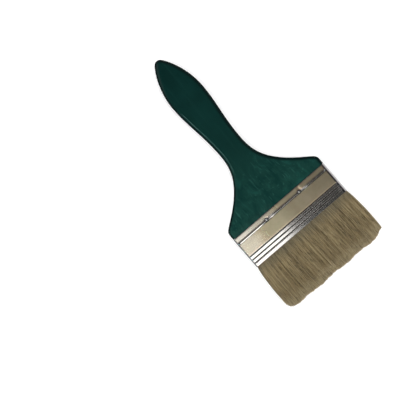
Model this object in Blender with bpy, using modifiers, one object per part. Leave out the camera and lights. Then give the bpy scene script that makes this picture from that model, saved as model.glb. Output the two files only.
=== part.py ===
"""A flat 4 inch paint brush with a wooden handle, lying on its back.

Frame: metres, +X along the brush from the handle's tip to the bristles' ends, +Y across it,
+Z up through its thickness. The origin is the middle of the bottom of its bounding box.
Places along the brush are distances from the handle's tip, which along() turns into X.
"""

import math

import bmesh
import bpy
from mathutils import Vector

MM = 0.001

# Driving dimensions, in metres.
LENGTH = 237.6 * MM
SHOULDER_AT = 159.1 * MM  # from the handle's tip to the ferrule
FERRULE_LENGTH = 30.6 * MM
FERRULE_WIDTH = 101.6 * MM
FERRULE_THICK = 10.0 * MM
FERRULE_CORNER = 1.4 * MM
SHEET = 0.3 * MM
HANDLE_THICK = 9.0 * MM
EDGE_ROUND = 3.6 * MM
TENON_LENGTH = 13.0 * MM
TENON_ROOT = 3.0 * MM  # how far the tenon's block starts inside the board
TENON_ROUND = 1.5 * MM
GAP = 0.3 * MM  # between pieces that touch

# Grooves pressed into the ferrule, as distances from its handle edge.
GROOVE_DEPTH = 0.45 * MM
GROOVE_HALF_WIDTH = 0.8 * MM
GROOVE_HALF_FLOOR = 0.35 * MM
NAIL_GROOVE = 5.1 * MM
BRISTLE_GROOVES = [20.1 * MM, 23.5 * MM, 26.9 * MM]
GROOVE_FADE = 2.2 * MM  # a groove runs out over this width before each corner

# The lapped joint of the ferrule's sheet, on the back.
LAP_FROM = 26.0 * MM
LAP_TO = 34.0 * MM
LAP_RAMP = 1.0 * MM
LAP_LIFT = SHEET + 0.1 * MM

# Nails: two in front and two behind, staggered so that their points miss each other.
NAIL_HEAD_RADIUS = 1.3 * MM
NAIL_RIM = 0.15 * MM
NAIL_HEAD_HEIGHT = 0.55 * MM
NAIL_HEAD_GAP = 0.05 * MM
NAIL_RADIUS = 0.6 * MM
NAIL_POINT = 1.2 * MM
NAIL_LENGTH = 6.0 * MM
NAIL_PLAY = 0.2 * MM
SHEET_DRILL_DEPTH = 3.0 * MM
FRONT_NAILS_Y = [20.2 * MM, -17.0 * MM]
BACK_NAILS_Y = [13.0 * MM, -13.0 * MM]

# Pieces inside the ferrule.
PLUG_LENGTH = 7.0 * MM
PLUG_FLOOR = 2.0 * MM
SPACER_LENGTH = 12.3 * MM
SPACER_THICK = 1.6 * MM
SPACER_WIDTH = 96.0 * MM
SPACER_ROUND = 0.3 * MM
ROW_WIDTH = 99.8 * MM
BUTT_THICK = 7.2 * MM  # both rows of bristles where the resin holds them
BUTT_INSET = 1.3 * MM  # how much narrower each side of a row is there
POCKET_INSET = 1.0 * MM
PINCH_RUN = 2.0 * MM  # from the resin to where the grooves pinch the rows

# The bristles outside the ferrule.
TUFT_WIDTH = 106.6 * MM
TUFT_CORNER = 7.0 * MM
TUFT_END_THICK = 8.0 * MM
TUFT_END_DROP = 1.2 * MM  # how much each face falls over the rounded end
TUFT_TAPER_FROM = 12.0 * MM  # from the end, where the tuft has started to thin

# How the tuft opens past the ferrule's mouth: the distance, how far each side is inside the
# tuft's widest, and the share of the way from the mouth's thickness to the belly's.
TUFT_OPENING = [
    (5 * MM, 1.6 * MM, 0.25),
    (12 * MM, 0.8 * MM, 0.75),
    (20 * MM, 0.2 * MM, 1.0),
    (28 * MM, 0.0, 1.0),
]

MID_Z = FERRULE_THICK / 2 + NAIL_HEAD_GAP + NAIL_HEAD_HEIGHT
MOUTH_AT = SHOULDER_AT + FERRULE_LENGTH
PLUG_AT = SHOULDER_AT + TENON_LENGTH + GAP
BUTTS_AT = PLUG_AT + PLUG_FLOOR + GAP
MOUTH_THICK = FERRULE_THICK - 2 * (SHEET + GROOVE_DEPTH + GAP)  # what the grooves let through

# One side of the handle's outline, in mm: place from the tip and half width, then the curve's
# left and right handles as steps from that point.
HANDLE_OUTLINE = [
    ((0, 0), (0, -2.6), (0, 2.6)),
    ((3.6, 5.0), (-2.0, -1.5), (7.4, 5.3)),
    ((40.5, 16.3), (-15, 0), (20, 0)),
    ((97, 11.9), (-24, 0), (16, 0)),
    ((131, 26.2), (-9.0, -8.6), (5.6, 5.2)),
    ((147.4, 46.3), (-4.0, -5.8), (2.2, 2.9)),
    ((154, 51.0), (-3.0, 0), (5.0, 0)),
    ((170, 51.0), (-5.0, 0), (0, -34.0)),
]


def along(distance):
    """X of a place given as a distance from the handle's tip."""
    return distance - LENGTH / 2


def clear_scene():
    for obj in list(bpy.data.objects):
        bpy.data.objects.remove(obj, do_unlink=True)


def new_collection(name):
    collection = bpy.data.collections.new(name)
    bpy.context.scene.collection.children.link(collection)
    return collection


def new_material(name, colour, roughness, metallic=0.0, coat=0.0):
    material = bpy.data.materials.new(name)
    material.use_nodes = True
    shader = material.node_tree.nodes["Principled BSDF"]
    shader.inputs["Base Color"].default_value = (*colour, 1)
    shader.inputs["Roughness"].default_value = roughness
    shader.inputs["Metallic"].default_value = metallic
    shader.inputs["Coat Weight"].default_value = coat
    return material


def add_object(name, bm, collection, material=None):
    """A new object made from bm, which is freed, with its outward faces shaded smooth."""
    mesh = bpy.data.meshes.new(name)
    bmesh.ops.recalc_face_normals(bm, faces=bm.faces)
    bm.to_mesh(mesh)
    bm.free()
    mesh.shade_smooth()
    mesh.set_sharp_from_angle(angle=math.radians(35))
    if material:
        mesh.materials.append(material)
    obj = bpy.data.objects.new(name, mesh)
    collection.objects.link(obj)
    return obj


def add_boolean(obj, other, operation):
    """Cuts or joins with a Boolean modifier. The other object stays as a hidden helper."""
    other.hide_render = True
    other.display_type = "WIRE"
    modifier = obj.modifiers.new(f"{operation.lower()} {other.name}", "BOOLEAN")
    modifier.operation = operation
    modifier.solver = "EXACT"
    modifier.object = other


def make_box(name, low, high, collection, material=None, round_by=0.0):
    """A box between two corners, with its edges rounded by a given width."""
    low, high = Vector(low), Vector(high)
    bm = bmesh.new()
    bmesh.ops.create_cube(bm, size=1)
    bmesh.ops.scale(bm, vec=high - low, verts=bm.verts)
    if round_by:
        bmesh.ops.bevel(bm, geom=bm.edges, offset=round_by, segments=2, affect="EDGES", profile=0.5)
    box = add_object(name, bm, collection, material)
    box.location = (low + high) / 2
    return box


def make_drill(name, location, depth, collection):
    """An upright cylinder centred on location, which cuts a nail's hole."""
    radius = NAIL_RADIUS + NAIL_PLAY
    bm = bmesh.new()
    bmesh.ops.create_cone(
        bm, cap_ends=True, segments=16, radius1=radius, radius2=radius, depth=depth
    )
    drill = add_object(name, bm, collection)
    drill.location = location
    return drill


def shape_grid(columns, rows, place):
    """A flat grid of columns by rows points, each moved to place(column, row)."""
    bm = bmesh.new()
    bmesh.ops.create_grid(bm, x_segments=columns - 1, y_segments=rows - 1, size=0.5)
    for vert in bm.verts:
        column = round((vert.co.x + 0.5) * (columns - 1))
        row = round((vert.co.y + 0.5) * (rows - 1))
        vert.co = place(column, row)
    return bm


def nail_places():
    """(name, y, side) of each nail: side is 1 in front, on top, and -1 behind."""
    return [
        ("nail_front_left", FRONT_NAILS_Y[0], 1),
        ("nail_front_right", FRONT_NAILS_Y[1], 1),
        ("nail_back_left", BACK_NAILS_Y[0], -1),
        ("nail_back_right", BACK_NAILS_Y[1], -1),
    ]


def draw_board():
    """The handle's outline as a closed curve with the handle's thickness, made a mesh."""
    other_side = [
        ((x, -y), (right_x, -right_y), (left_x, -left_y))
        for (x, y), (left_x, left_y), (right_x, right_y) in reversed(HANDLE_OUTLINE[1:])
    ]
    points = HANDLE_OUTLINE + other_side
    curve = bpy.data.curves.new("board", "CURVE")
    curve.dimensions = "2D"
    curve.fill_mode = "BOTH"
    curve.extrude = HANDLE_THICK / 2
    curve.resolution_u = 8
    spline = curve.splines.new("BEZIER")
    spline.use_cyclic_u = True
    spline.bezier_points.add(len(points) - 1)
    for point, (place, left, right) in zip(spline.bezier_points, points):
        point.handle_left_type = "FREE"
        point.handle_right_type = "FREE"
        point.co = Vector((along(place[0] * MM), place[1] * MM, 0))
        point.handle_left = point.co + Vector((*left, 0)) * MM
        point.handle_right = point.co + Vector((*right, 0)) * MM
    board = bpy.data.objects.new("board", curve)
    bpy.context.scene.collection.objects.link(board)
    graph = bpy.context.evaluated_depsgraph_get()
    mesh = bpy.data.meshes.new_from_object(board.evaluated_get(graph))
    bm = bmesh.new()
    bm.from_mesh(mesh)
    bmesh.ops.remove_doubles(bm, verts=bm.verts, dist=0.001 * MM)
    bmesh.ops.dissolve_limit(
        bm, angle_limit=math.radians(0.1), verts=bm.verts, edges=bm.edges
    )
    bpy.data.meshes.remove(mesh)
    bpy.data.objects.remove(board)
    return bm


def make_handle(parts, cutters, material):
    """A board with a rounded edge, cut square at the shoulder, and a tenon for the ferrule."""
    handle = add_object("handle", draw_board(), parts, material)
    handle.location.z = MID_Z
    rounding = handle.modifiers.new("rounded edge", "BEVEL")
    rounding.width = EDGE_ROUND
    rounding.segments = 4
    rounding.limit_method = "ANGLE"
    rounding.angle_limit = math.radians(60)
    past_shoulder = make_box(
        "past_shoulder",
        (along(SHOULDER_AT - GAP), -FERRULE_WIDTH, MID_Z - FERRULE_THICK),
        (along(SHOULDER_AT) + FERRULE_LENGTH, FERRULE_WIDTH, MID_Z + FERRULE_THICK),
        cutters,
    )
    add_boolean(handle, past_shoulder, "DIFFERENCE")
    half_width = ROW_WIDTH / 2
    tenon = make_box(
        "tenon",
        (along(SHOULDER_AT - TENON_ROOT), -half_width, MID_Z - MOUTH_THICK / 2),
        (along(SHOULDER_AT + TENON_LENGTH), half_width, MID_Z + MOUTH_THICK / 2),
        cutters,
        round_by=TENON_ROUND,
    )
    add_boolean(handle, tenon, "UNION")
    return handle


def sheet_path():
    """The ferrule's sheet, end to end round the brush, seen along X.

    Each point is (y, z, outward direction's angle, how much of a groove's depth it takes).
    """
    half_width = FERRULE_WIDTH / 2
    half_thick = FERRULE_THICK / 2
    corner_y = half_width - FERRULE_CORNER
    corner_z = half_thick - FERRULE_CORNER
    groove_y = corner_y - GROOVE_FADE
    down, up = math.radians(-90), math.radians(90)

    def corner(side_y, side_z, start):
        for step in range(5):
            angle = math.radians(start - 90 * step / 4)
            y = side_y * corner_y + FERRULE_CORNER * math.cos(angle)
            z = side_z * corner_z + FERRULE_CORNER * math.sin(angle)
            yield (y, z, angle, 0)

    return [
        (LAP_TO, -half_thick, down, 1),
        (-groove_y, -half_thick, down, 1),
        *corner(-1, -1, 270),
        *corner(-1, 1, 180),
        (-groove_y, half_thick, up, 1),
        (groove_y, half_thick, up, 1),
        *corner(1, 1, 90),
        *corner(1, -1, 0),
        (groove_y, -half_thick, down, 1),
        (LAP_TO + 2 * LAP_RAMP, -half_thick, down, 1),
        (LAP_TO + LAP_RAMP, -half_thick - LAP_LIFT, down, 1),
        (LAP_FROM, -half_thick - LAP_LIFT, down, 1),
    ]


def sheet_stations():
    """(distance from the ferrule's handle edge, depth pressed in) along the ferrule."""
    stations = [(0, 0)]
    for centre in [NAIL_GROOVE, *BRISTLE_GROOVES]:
        stations += [
            (centre - GROOVE_HALF_WIDTH, 0),
            (centre - GROOVE_HALF_FLOOR, GROOVE_DEPTH),
            (centre + GROOVE_HALF_FLOOR, GROOVE_DEPTH),
            (centre + GROOVE_HALF_WIDTH, 0),
        ]
    return [*stations, (FERRULE_LENGTH, 0)]


def make_ferrule(parts, cutters, material):
    """One strip of sheet rolled round the brush and lapped at the back, with its grooves."""
    path = sheet_path()
    stations = sheet_stations()

    def place(column, row):
        distance, depth = stations[column]
        y, z, angle, share = path[row]
        return Vector(
            (
                along(SHOULDER_AT) + distance,
                y - math.cos(angle) * depth * share,
                z - math.sin(angle) * depth * share,
            )
        )

    ferrule = add_object(
        "ferrule", shape_grid(len(stations), len(path), place), parts, material
    )
    ferrule.location.z = MID_Z
    gauge = ferrule.modifiers.new("sheet", "SOLIDIFY")
    gauge.thickness = SHEET
    gauge.offset = -1
    gauge.use_even_offset = True
    for name, y, side in nail_places():
        centre = (along(SHOULDER_AT) + NAIL_GROOVE, y, MID_Z + side * FERRULE_THICK / 2)
        drill = make_drill(f"{name}_sheet_hole", centre, SHEET_DRILL_DEPTH, cutters)
        add_boolean(ferrule, drill, "DIFFERENCE")
    return ferrule


def make_nail(name, y, side, parts, cutters, handle, material):
    """A round-headed nail through the nail groove, and its hole in the handle's tenon."""
    profile = [
        (0, NAIL_HEAD_HEIGHT),
        (0.45 * NAIL_HEAD_RADIUS, 0.93 * NAIL_HEAD_HEIGHT),
        (0.82 * NAIL_HEAD_RADIUS, 0.68 * NAIL_HEAD_HEIGHT),
        (NAIL_HEAD_RADIUS, NAIL_RIM),
        (NAIL_HEAD_RADIUS, 0),
        (NAIL_RADIUS, 0),
        (NAIL_RADIUS, NAIL_POINT - NAIL_LENGTH),
        (0, -NAIL_LENGTH),
    ]
    bm = bmesh.new()
    verts = [bm.verts.new((radius, 0, height)) for radius, height in profile]
    for pair in zip(verts, verts[1:]):
        bm.edges.new(pair)
    nail = add_object(name, bm, parts, material)
    turn = nail.modifiers.new("turned", "SCREW")
    turn.steps = 16
    turn.render_steps = 16
    turn.use_merge_vertices = True
    turn.merge_threshold = 0.001 * MM
    turn.use_smooth_shade = True
    x = along(SHOULDER_AT) + NAIL_GROOVE
    nail.location = (x, y, MID_Z + side * (FERRULE_THICK / 2 + NAIL_HEAD_GAP))
    nail.rotation_euler.x = 0 if side == 1 else math.pi
    hole = make_drill(
        f"{name}_wood_hole",
        (x, y, MID_Z + side * FERRULE_THICK / 2),
        2 * (NAIL_LENGTH + NAIL_PLAY),
        cutters,
    )
    add_boolean(handle, hole, "DIFFERENCE")
    return nail


def make_spacer(parts, material):
    """The strip between the two rows' butts, which leaves a space that holds paint."""
    return make_box(
        "spacer_strip",
        (along(BUTTS_AT), -SPACER_WIDTH / 2, MID_Z - SPACER_THICK / 2),
        (along(BUTTS_AT) + SPACER_LENGTH, SPACER_WIDTH / 2, MID_Z + SPACER_THICK / 2),
        parts,
        material,
        round_by=SPACER_ROUND,
    )


def make_plug(parts, cutters, material):
    """The set resin that holds the butts: a block with a pocket for the rows and the strip."""
    half_width = FERRULE_WIDTH / 2 - SHEET - GAP
    half_thick = FERRULE_THICK / 2 - SHEET - GAP
    plug = make_box(
        "resin_plug",
        (along(PLUG_AT), -half_width, MID_Z - half_thick),
        (along(PLUG_AT) + PLUG_LENGTH, half_width, MID_Z + half_thick),
        parts,
        material,
        round_by=FERRULE_CORNER - SHEET,
    )
    pocket_width = ROW_WIDTH / 2 - POCKET_INSET
    pocket_thick = BUTT_THICK / 2 + GAP
    pocket = make_box(
        "resin_pocket",
        (along(BUTTS_AT - GAP), -pocket_width, MID_Z - pocket_thick),
        (along(BUTTS_AT) + PLUG_LENGTH, pocket_width, MID_Z + pocket_thick),
        cutters,
    )
    add_boolean(plug, pocket, "DIFFERENCE")
    return plug


def row_stations():
    """(distance from the tip, half width, inner and outer height from the middle) of a row."""
    spacer_half = SPACER_THICK / 2 + GAP
    inside_half = ROW_WIDTH / 2 - BUTT_INSET
    out_half = TUFT_WIDTH / 2
    mouth_half = MOUTH_THICK / 2
    belly_half = MID_Z
    end_half = TUFT_END_THICK / 2
    spacer_end = BUTTS_AT + SPACER_LENGTH
    stations = [
        (BUTTS_AT, inside_half, spacer_half, BUTT_THICK / 2),
        (PLUG_AT + PLUG_LENGTH, inside_half, spacer_half, BUTT_THICK / 2),
        (PLUG_AT + PLUG_LENGTH + PINCH_RUN, ROW_WIDTH / 2, spacer_half, mouth_half),
        (spacer_end, ROW_WIDTH / 2, spacer_half, mouth_half),
        (MOUTH_AT, ROW_WIDTH / 2, GAP, mouth_half),
    ]
    for past_mouth, inset, share in TUFT_OPENING:
        height = mouth_half + share * (belly_half - mouth_half)
        stations.append((MOUTH_AT + past_mouth, out_half - inset, GAP / 2, height))
    half_tapered = (belly_half + end_half) / 2
    stations.append((LENGTH - TUFT_TAPER_FROM, out_half, GAP / 2, half_tapered))
    for degrees in (0, 25, 50, 70, 90):
        turn = math.radians(degrees)
        distance = LENGTH - TUFT_CORNER + TUFT_CORNER * math.sin(turn)
        half_width = out_half - TUFT_CORNER + TUFT_CORNER * math.cos(turn)
        height = end_half - TUFT_END_DROP * (1 - math.cos(turn))
        stations.append((distance, half_width, GAP / 2, height))
    return stations


def make_row(name, side, parts, material):
    """One row of bristles as a closed form: side is 1 for the front row and -1 for the back."""
    stations = row_stations()
    crown = [(-1, 0), (-1, 0.45), (-0.985, 0.75), (-0.93, 0.96), (-0.5, 1)]
    outline = crown + [(-y, z) for y, z in reversed(crown)]

    def place(column, row):
        distance, half_width, inner, outer = stations[column]
        across, rise = outline[row % len(outline)]
        height = inner + (outer - inner) * rise
        return Vector((along(distance), across * half_width, side * height))

    bm = shape_grid(len(stations), len(outline) + 1, place)
    bmesh.ops.remove_doubles(bm, verts=bm.verts, dist=0.001 * MM)
    bmesh.ops.holes_fill(bm, edges=bm.edges)
    row = add_object(name, bm, parts, material)
    row.location.z = MID_Z
    return row


def main():
    clear_scene()
    parts = new_collection("paint_brush")
    cutters = new_collection("cutters")
    lacquer = new_material("green_lacquer", (0.010, 0.035, 0.028), 0.32, coat=0.5)
    tinplate = new_material("tinplate", (0.62, 0.60, 0.56), 0.22, metallic=1.0)
    steel = new_material("nail_steel", (0.60, 0.60, 0.60), 0.25, metallic=1.0)
    bristle = new_material("hog_bristle", (0.20, 0.16, 0.09), 0.6)
    strip_wood = new_material("strip_wood", (0.55, 0.42, 0.25), 0.8)
    resin = new_material("set_resin", (0.45, 0.30, 0.12), 0.3)
    handle = make_handle(parts, cutters, lacquer)
    make_ferrule(parts, cutters, tinplate)
    for name, y, side in nail_places():
        make_nail(name, y, side, parts, cutters, handle, steel)
    make_plug(parts, cutters, resin)
    make_spacer(parts, strip_wood)
    make_row("bristles_front", 1, parts, bristle)
    make_row("bristles_back", -1, parts, bristle)


main()
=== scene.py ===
"""The looks of a flat 4 inch paint brush with a green wooden handle, lying on its back.

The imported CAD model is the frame: every place and size is read from it or counted from it, in
metres. +X runs from the handle's tip to the bristles' ends, +Y across, +Z out of the front face.
"""

import math

import bmesh
import bpy
import numpy as np
from mathutils import Matrix, Vector


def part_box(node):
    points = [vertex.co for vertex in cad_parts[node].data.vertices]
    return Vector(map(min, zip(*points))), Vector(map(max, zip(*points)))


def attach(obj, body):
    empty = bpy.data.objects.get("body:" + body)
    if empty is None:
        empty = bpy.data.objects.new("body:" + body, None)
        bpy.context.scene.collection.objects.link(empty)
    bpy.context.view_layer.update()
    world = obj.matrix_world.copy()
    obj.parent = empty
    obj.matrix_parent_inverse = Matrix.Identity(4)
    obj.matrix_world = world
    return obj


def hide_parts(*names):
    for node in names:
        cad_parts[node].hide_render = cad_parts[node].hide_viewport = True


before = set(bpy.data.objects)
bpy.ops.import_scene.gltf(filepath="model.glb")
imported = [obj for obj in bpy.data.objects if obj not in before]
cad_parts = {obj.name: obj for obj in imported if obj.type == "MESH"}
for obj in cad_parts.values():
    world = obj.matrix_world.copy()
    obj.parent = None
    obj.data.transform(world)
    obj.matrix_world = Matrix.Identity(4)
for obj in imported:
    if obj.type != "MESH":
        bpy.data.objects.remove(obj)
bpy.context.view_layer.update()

MM = 0.001

# Places that the CAD gives.
HANDLE_LOW, HANDLE_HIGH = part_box("handle")
FERRULE_LOW, FERRULE_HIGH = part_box("ferrule")
ROW_LOW, ROW_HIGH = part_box("bristles_front")
TIP_X = HANDLE_LOW.x
SHOULDER_X = FERRULE_LOW.x
MOUTH_X = FERRULE_HIGH.x
FERRULE_LENGTH = MOUTH_X - SHOULDER_X
BUTT_X = ROW_LOW.x
END_X = ROW_HIGH.x
MID_Z = (HANDLE_LOW.z + HANDLE_HIGH.z) / 2
HANDLE_HALF_THICK = (HANDLE_HIGH.z - HANDLE_LOW.z) / 2
FERRULE_HALF_WIDTH = FERRULE_HIGH.y
FERRULE_HALF_THICK = FERRULE_HIGH.z - MID_Z
TUFT_HALF_WIDTH = ROW_HIGH.y
TUFT_HALF_THICK = ROW_HIGH.z - MID_Z
TENON_LENGTH = HANDLE_HIGH.x - SHOULDER_X

# Sizes inside a node, the same as in part.py.
EDGE_ROUND = 3.6 * MM
SHEET = 0.3 * MM
FERRULE_CORNER = 1.4 * MM
GROOVE_DEPTH = 0.45 * MM
GROOVE_HALF_WIDTH = 0.8 * MM
NAIL_GROOVE = 5.1 * MM
BRISTLE_GROOVES = [20.1 * MM, 23.5 * MM, 26.9 * MM]
LAP_FROM = 26.0 * MM
LAP_TO = 34.0 * MM
LAP_RAMP = 1.0 * MM
LAP_LIFT = SHEET + 0.1 * MM
TUFT_CORNER = 7.0 * MM
TUFT_END_HALF_THICK = 4.0 * MM

# One side of the handle's outline, in mm, as in part.py up to the shoulder: place from the tip
# and half width, then the curve's left and right handles as steps from that point.
HANDLE_OUTLINE = [
    ((0, 0), (0, -2.6), (0, 2.6)),
    ((3.6, 5.0), (-2.0, -1.5), (7.4, 5.3)),
    ((40.5, 16.3), (-15, 0), (20, 0)),
    ((97, 11.9), (-24, 0), (16, 0)),
    ((131, 26.2), (-9.0, -8.6), (5.6, 5.2)),
    ((147.4, 46.3), (-4.0, -5.8), (2.2, 2.9)),
    ((154, 51.0), (-3.0, 0), (2.0, 0)),
    ((158.8, 51.0), (-2.0, 0), (0, 0)),
]


# Node materials -----------------------------------------------------------------------------


class Nodes:
    """A material's node tree, with short calls to add the nodes used here."""

    def __init__(self, name):
        self.material = bpy.data.materials.new(name)
        self.material.use_nodes = True
        self.tree = self.material.node_tree
        self.shader = self.tree.nodes["Principled BSDF"]
        self.place = self.tree.nodes.new("ShaderNodeTexCoord").outputs["Object"]

    def link(self, source, target):
        self.tree.links.new(source, target)

    def set(self, **values):
        """Plain values on the shader's own sockets, with _ for a space in a socket's name."""
        for name, value in values.items():
            self.shader.inputs[name.replace("_", " ")].default_value = value

    def feed(self, name, source):
        self.link(source, self.shader.inputs[name])

    def stretch(self, x, y, z):
        """Object coordinates in metres, multiplied by x, y and z."""
        node = self.tree.nodes.new("ShaderNodeVectorMath")
        node.operation = "MULTIPLY"
        self.link(self.place, node.inputs[0])
        node.inputs[1].default_value = (x, y, z)
        return node.outputs[0]

    def far(self):
        """The distance from the object's origin."""
        node = self.tree.nodes.new("ShaderNodeVectorMath")
        node.operation = "LENGTH"
        self.link(self.place, node.inputs[0])
        return node.outputs["Value"]

    def shift(self, vector, amount):
        """A vector with a number added to each of its parts."""
        node = self.tree.nodes.new("ShaderNodeVectorMath")
        node.operation = "ADD"
        self.link(vector, node.inputs[0])
        self.link(amount, node.inputs[1])
        return node.outputs[0]

    def noise(self, vector, detail=4.0, rough=0.55, distortion=0.0):
        node = self.tree.nodes.new("ShaderNodeTexNoise")
        self.link(vector, node.inputs["Vector"])
        node.inputs["Scale"].default_value = 1.0
        node.inputs["Detail"].default_value = detail
        node.inputs["Roughness"].default_value = rough
        node.inputs["Distortion"].default_value = distortion
        return node.outputs["Fac"]

    def ramp(self, factor, low, high, start=0.0, end=1.0):
        """factor from low to high, spread over start to end and held at both ends."""
        node = self.tree.nodes.new("ShaderNodeMapRange")
        self.link(factor, node.inputs["Value"])
        node.inputs["From Min"].default_value = low
        node.inputs["From Max"].default_value = high
        node.inputs["To Min"].default_value = start
        node.inputs["To Max"].default_value = end
        return node.outputs["Result"]

    def math(self, operation, first, second):
        """One step of arithmetic on a socket, with a number or another socket."""
        node = self.tree.nodes.new("ShaderNodeMath")
        node.operation = operation
        self.link(first, node.inputs[0])
        if isinstance(second, float):
            node.inputs[1].default_value = second
        else:
            self.link(second, node.inputs[1])
        return node.outputs[0]

    def mix(self, factor, first, second):
        """A mix of two colours, each a tuple or a socket."""
        node = self.tree.nodes.new("ShaderNodeMix")
        node.data_type = "RGBA"
        self.link(factor, node.inputs["Factor"])
        for socket, value in ((node.inputs[6], first), (node.inputs[7], second)):
            if isinstance(value, tuple):
                socket.default_value = (*value, 1)
            else:
                self.link(value, socket)
        return node.outputs[2]

    def attribute(self, name):
        """The three numbers kept in a mesh attribute."""
        read = self.tree.nodes.new("ShaderNodeAttribute")
        read.attribute_name = name
        split = self.tree.nodes.new("ShaderNodeSeparateColor")
        self.link(read.outputs["Color"], split.inputs[0])
        return split.outputs

    def bump(self, height, distance, after=None):
        """Relief of a given height in metres, on top of the relief in after."""
        node = self.tree.nodes.new("ShaderNodeBump")
        self.link(height, node.inputs["Height"])
        node.inputs["Distance"].default_value = distance
        if after is not None:
            self.link(after, node.inputs["Normal"])
        return node.outputs[0]


def green_lacquer():
    """Dark green lacquer, darker towards the tip, with painted shade over the rounded edge and
    towards +Y.

    The wood's pores show faintly through it, and fine scratches cross the wide end.
    """
    dark_green = (0.0020, 0.0135, 0.0120)
    light_green = (0.0074, 0.0345, 0.0275)
    clouded = (0.0035, 0.0230, 0.0200)
    dark_smear = (0.0022, 0.0180, 0.0160)
    pale_smear = (0.0080, 0.0480, 0.0390)
    pore = (0.0110, 0.0480, 0.0400)
    scratch = (0.0240, 0.0850, 0.0700)
    shaded_edge = (0.0006, 0.0040, 0.0040)
    nodes = Nodes("green_lacquer")
    edge, green_tone_and_shade, wide = nodes.attribute("board")[:3]
    grain = nodes.noise(nodes.stretch(20, 420, 420), detail=5, rough=0.6, distortion=0.5)
    cloud = nodes.noise(nodes.stretch(45, 60, 60), detail=3)
    # Lighter towards the wide end, and darker towards +Y as painted shade.
    colour = nodes.mix(green_tone_and_shade, dark_green, light_green)
    colour = nodes.mix(nodes.ramp(cloud, 0.38, 0.62, 0.0, 0.40), colour, clouded)
    smears = nodes.noise(nodes.stretch(80, 130, 130), detail=3, rough=0.6, distortion=0.8)
    dark_smears = nodes.math("MULTIPLY", nodes.ramp(smears, 0.52, 0.36, 0.0, 0.7), wide)
    colour = nodes.mix(dark_smears, colour, dark_smear)
    pale_smears = nodes.math("MULTIPLY", nodes.ramp(smears, 0.54, 0.68, 0.0, 0.5), wide)
    colour = nodes.mix(pale_smears, colour, pale_smear)
    colour = nodes.mix(nodes.ramp(grain, 0.55, 0.75, 0.0, 0.16), colour, pore)
    bent = nodes.noise(nodes.stretch(30, 30, 30), detail=1)
    strokes = nodes.stretch(60, 620, 620)
    strokes = nodes.shift(strokes, nodes.math("MULTIPLY", bent, 20.0))
    scratches = nodes.ramp(nodes.noise(strokes, detail=2), 0.60, 0.72, 0.0, 0.35)
    colour = nodes.mix(nodes.math("MULTIPLY", scratches, wide), colour, scratch)
    # Painted shade: the rounded edge turns near black.
    colour = nodes.mix(nodes.math("MULTIPLY", edge, 0.9), colour, shaded_edge)
    nodes.feed("Base Color", colour)
    nodes.feed("Roughness", nodes.ramp(cloud, 0.3, 0.7, 0.26, 0.34))
    # The coat is thickest on the flat of the grip, and worn down over the edge and the wide end.
    coat = nodes.ramp(edge, 0.0, 1.0, 0.22, 0.06)
    nodes.feed("Coat Weight", nodes.math("MULTIPLY", coat, nodes.ramp(wide, 0.0, 1.0, 1.0, 0.3)))
    nodes.set(Specular_IOR_Level=0.0, Coat_Roughness=0.05)
    pores = nodes.bump(nodes.ramp(grain, 0.3, 0.7), 0.012 * MM)
    peel = nodes.noise(nodes.stretch(260, 260, 260), detail=1)
    nodes.feed("Normal", nodes.bump(peel, 0.03 * MM, after=pores))
    return nodes.material


def tinplate():
    """Bright tinned sheet: a dull varnished panel, polished ribs, and dirt with painted shade in
    its corners.
    """
    clean_tin, spotted_tin = (0.96, 0.93, 0.89), (0.87, 0.84, 0.80)
    thin_varnish, thick_varnish = (0.685, 0.548, 0.372), (0.555, 0.435, 0.288)
    painted_shade_mauve = (0.10, 0.0, 0.04)
    groove_dirt_and_shade_brown = (0.062, 0.048, 0.036)
    dirt_and_shade_grey = (0.085, 0.081, 0.094)
    nodes = Nodes("tinplate")
    groove, panel, dirt_and_shade = nodes.attribute("ferrule")[:3]
    smudge = nodes.noise(nodes.stretch(45, 35, 45), detail=4, rough=0.6)
    fine = nodes.noise(nodes.stretch(220, 160, 220), detail=3)
    bright = nodes.mix(nodes.ramp(fine, 0.35, 0.7), clean_tin, spotted_tin)
    dull = nodes.mix(nodes.ramp(smudge, 0.38, 0.62), thin_varnish, thick_varnish)
    colour = nodes.mix(panel, bright, dull)
    # Dirt and painted shade in the grooves.
    colour = nodes.mix(nodes.math("MULTIPLY", groove, 0.96), colour, groove_dirt_and_shade_brown)
    # Dirt and painted shade at the rims, corners, narrow sides, nails and groove ends.
    dirt_and_shade_mix = nodes.math("MULTIPLY", dirt_and_shade, nodes.ramp(fine, 0.3, 0.7, 0.88, 0.98))
    colour = nodes.mix(dirt_and_shade_mix, colour, dirt_and_shade_grey)
    # Painted shade: a mauve cast darkens the +Y half, where the panel's value is over 1.
    darkened = nodes.ramp(panel, 1.0, PANEL_MOST, 0.0, 0.20)
    colour = nodes.mix(darkened, colour, painted_shade_mauve)
    nodes.feed("Base Color", colour)
    base = nodes.ramp(smudge, 0.3, 0.7, 0.08, 0.11)
    dullness = nodes.math("MULTIPLY", nodes.math("MAXIMUM", panel, groove), 0.12)
    rough = nodes.math("ADD", base, dullness)
    varnish = nodes.ramp(panel, 0.85, 1.0, 0.0, 0.282)
    nodes.feed("Roughness", nodes.math("MAXIMUM", rough, varnish))
    nodes.set(Metallic=1.0)
    waves = nodes.noise(nodes.stretch(60, 45, 60), detail=0)
    nodes.feed("Normal", nodes.bump(waves, 0.008 * MM))
    return nodes.material


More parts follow.
